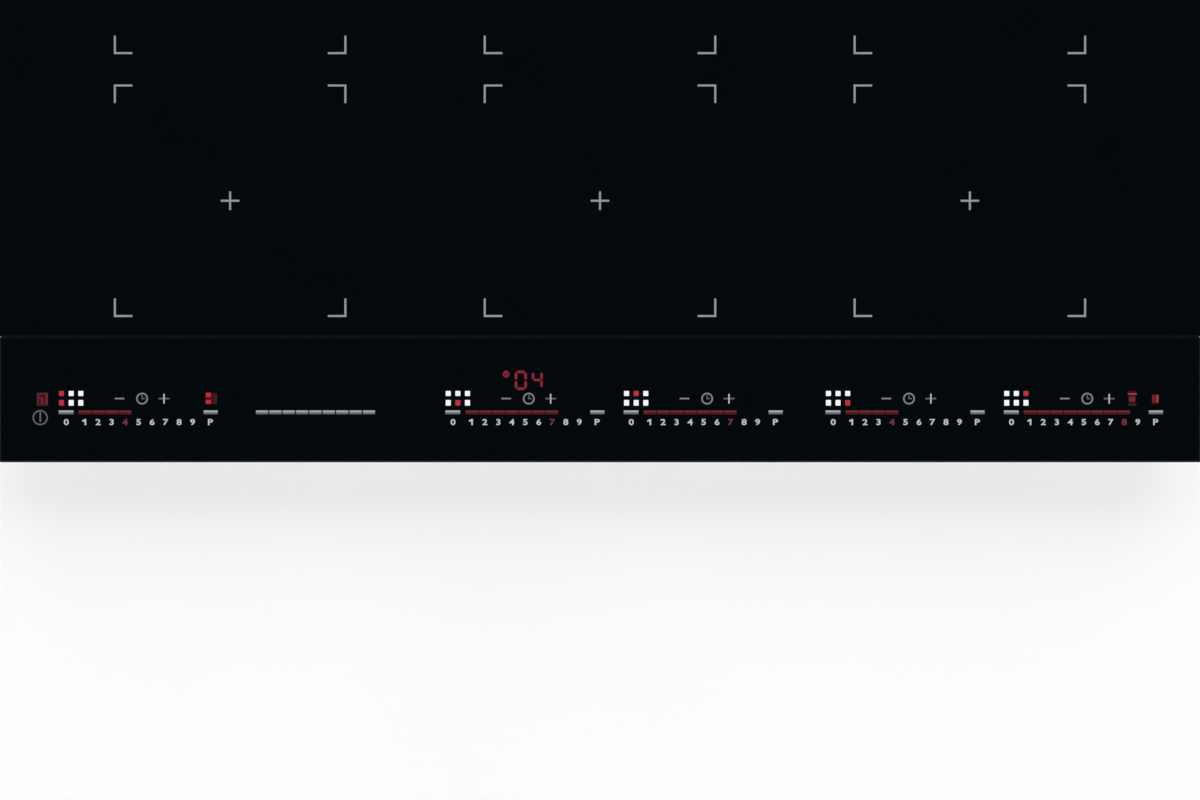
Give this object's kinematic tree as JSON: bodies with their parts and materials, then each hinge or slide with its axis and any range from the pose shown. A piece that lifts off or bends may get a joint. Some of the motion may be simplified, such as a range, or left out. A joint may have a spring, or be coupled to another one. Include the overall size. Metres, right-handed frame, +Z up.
{
  "type": "induction cooktop",
  "caption": "Built-in induction cooktop: flat black glass top with a touch-control strip along the front, sheet-metal casing below, sprung coil carriers, blowers and swivel clamps.",
  "frame": {"origin": "centre of the casing's bottom face", "axes": "+X to the cook's right along the control strip, +Y away from the cook, +Z up out of the glass"},
  "size_m": [0.91, 0.52, 0.0561],
  "materials": {
    "aluminium_extrusion": "extruded",
    "aluminium_frame": "mill-finish profile",
    "aluminium_sheet": "rolled",
    "black_glass": "polished black glass-ceramic",
    "black_plastic": "glass-filled, fine texture",
    "capacitor_case": "moulded case",
    "ceramic_print": "fired print",
    "choke_core": "wound toroid",
    "circuit_board": "solder mask",
    "component_epoxy": "moulded epoxy",
    "conductive_foam": "foam",
    "copper_litz": "enamelled litz wire",
    "display_plastic": "moulded",
    "ferrite": "sintered",
    "galvanised_sheet": "hot-dip galvanised sheet",
    "grey_plastic": "moulded",
    "led_package": "moulded",
    "mica": "pressed flake sheet",
    "motor_metal": "turned",
    "natural_plastic": "heat-resistant, moulded",
    "seal_foam": "closed-cell foam",
    "sensor_ceramic": "sintered",
    "spring_steel": "blued strip",
    "zinc_steel": "zinc plated"
  },
  "bodies": {
    "body": {"control_glass": "black_glass", "cooking_glass": "black_glass", "edge_seal": "seal_foam", "top_frame": "aluminium_frame", "casing": "galvanised_sheet", "control_carrier": "black_plastic", "control_board": "circuit_board", "light_mask": "black_plastic", "indicator_leds": "led_package", "timer_display": "display_plastic", "touch_sensor_posts": "conductive_foam", "power_board_left": "circuit_board", "heatsink_left": "aluminium_extrusion", "fan_housing_left": "black_plastic", "leaf_springs_left": "spring_steel", "power_board_centre": "circuit_board", "heatsink_centre": "aluminium_extrusion", "fan_housing_centre": "black_plastic", "leaf_springs_centre": "spring_steel", "power_board_right": "circuit_board", "heatsink_right": "aluminium_extrusion", "fan_housing_right": "black_plastic", "leaf_springs_right": "spring_steel", "transistors": "component_epoxy", "film_capacitors": "capacitor_case", "filter_chokes": "choke_core", "fan_motors": "motor_metal", "support_rails": "galvanised_sheet", "filter_board": "circuit_board", "terminal_block": "natural_plastic", "cable_clamp": "black_plastic", "clamp_screws": "zinc_steel", "frame_screws": "zinc_steel", "surface_print": "ceramic_print"},
    "fan_left": {"fan_rotor_left": "grey_plastic"},
    "coils_left": {"coil_carrier_left": "aluminium_sheet", "coil_formers_left": "natural_plastic", "coil_windings_left": "copper_litz", "ferrite_bars_left": "ferrite", "temperature_sensors_left": "sensor_ceramic", "mica_sheet_left": "mica"},
    "fan_centre": {"fan_rotor_centre": "grey_plastic"},
    "coils_centre": {"coil_carrier_centre": "aluminium_sheet", "coil_formers_centre": "natural_plastic", "coil_windings_centre": "copper_litz", "ferrite_bars_centre": "ferrite", "temperature_sensors_centre": "sensor_ceramic", "mica_sheet_centre": "mica"},
    "fan_right": {"fan_rotor_right": "grey_plastic"},
    "coils_right": {"coil_carrier_right": "aluminium_sheet", "coil_formers_right": "natural_plastic", "coil_windings_right": "copper_litz", "ferrite_bars_right": "ferrite", "temperature_sensors_right": "sensor_ceramic", "mica_sheet_right": "mica"},
    "clamp_front_left": {"swivel_clamp_front_left": "zinc_steel"},
    "clamp_rear_left": {"swivel_clamp_rear_left": "zinc_steel"},
    "clamp_front_right": {"swivel_clamp_front_right": "zinc_steel"},
    "clamp_rear_right": {"swivel_clamp_rear_right": "zinc_steel"},
    "lid": {"terminal_lid": "black_plastic"}
  },
  "joints": [
    {"name": "fan_spin_left", "type": "hinge", "parent": "body", "child": "fan_left", "pos_m": [-0.28, 0.141, 0.02], "axis": [0, 0, 1], "continuous": true},
    {"name": "coil_float_left", "type": "slide", "parent": "body", "child": "coils_left", "axis": [0, 0, 1], "range_m": [-0.004, 0], "stiffness_N_per_m": 15000, "springref_m": 0.004, "deforming": ["leaf_springs_left"]},
    {"name": "fan_spin_centre", "type": "hinge", "parent": "body", "child": "fan_centre", "pos_m": [0, 0.141, 0.02], "axis": [0, 0, 1], "continuous": true},
    {"name": "coil_float_centre", "type": "slide", "parent": "body", "child": "coils_centre", "axis": [0, 0, 1], "range_m": [-0.004, 0], "stiffness_N_per_m": 15000, "springref_m": 0.004, "deforming": ["leaf_springs_centre"]},
    {"name": "fan_spin_right", "type": "hinge", "parent": "body", "child": "fan_right", "pos_m": [0.28, 0.141, 0.02], "axis": [0, 0, 1], "continuous": true},
    {"name": "coil_float_right", "type": "slide", "parent": "body", "child": "coils_right", "axis": [0, 0, 1], "range_m": [-0.004, 0], "stiffness_N_per_m": 15000, "springref_m": 0.004, "deforming": ["leaf_springs_right"]},
    {"name": "clamp_swivel_front_left", "type": "hinge", "parent": "body", "child": "clamp_front_left", "pos_m": [-0.424, -0.18, 0.0065], "axis": [0, 0, 1], "range_deg": [0, 90]},
    {"name": "clamp_swivel_rear_left", "type": "hinge", "parent": "body", "child": "clamp_rear_left", "pos_m": [-0.424, 0.03, 0.0065], "axis": [0, 0, 1], "range_deg": [0, 90]},
    {"name": "clamp_swivel_front_right", "type": "hinge", "parent": "body", "child": "clamp_front_right", "pos_m": [0.424, -0.18, 0.0065], "axis": [0, 0, -1], "range_deg": [0, 90]},
    {"name": "clamp_swivel_rear_right", "type": "hinge", "parent": "body", "child": "clamp_rear_right", "pos_m": [0.424, 0.03, 0.0065], "axis": [0, 0, -1], "range_deg": [0, 90]},
    {"name": "lid_hinge", "type": "hinge", "parent": "body", "child": "lid", "pos_m": [-0.4, 0.145, 0.0206], "axis": [0, -1, 0], "range_deg": [0, 90]}
  ]
}
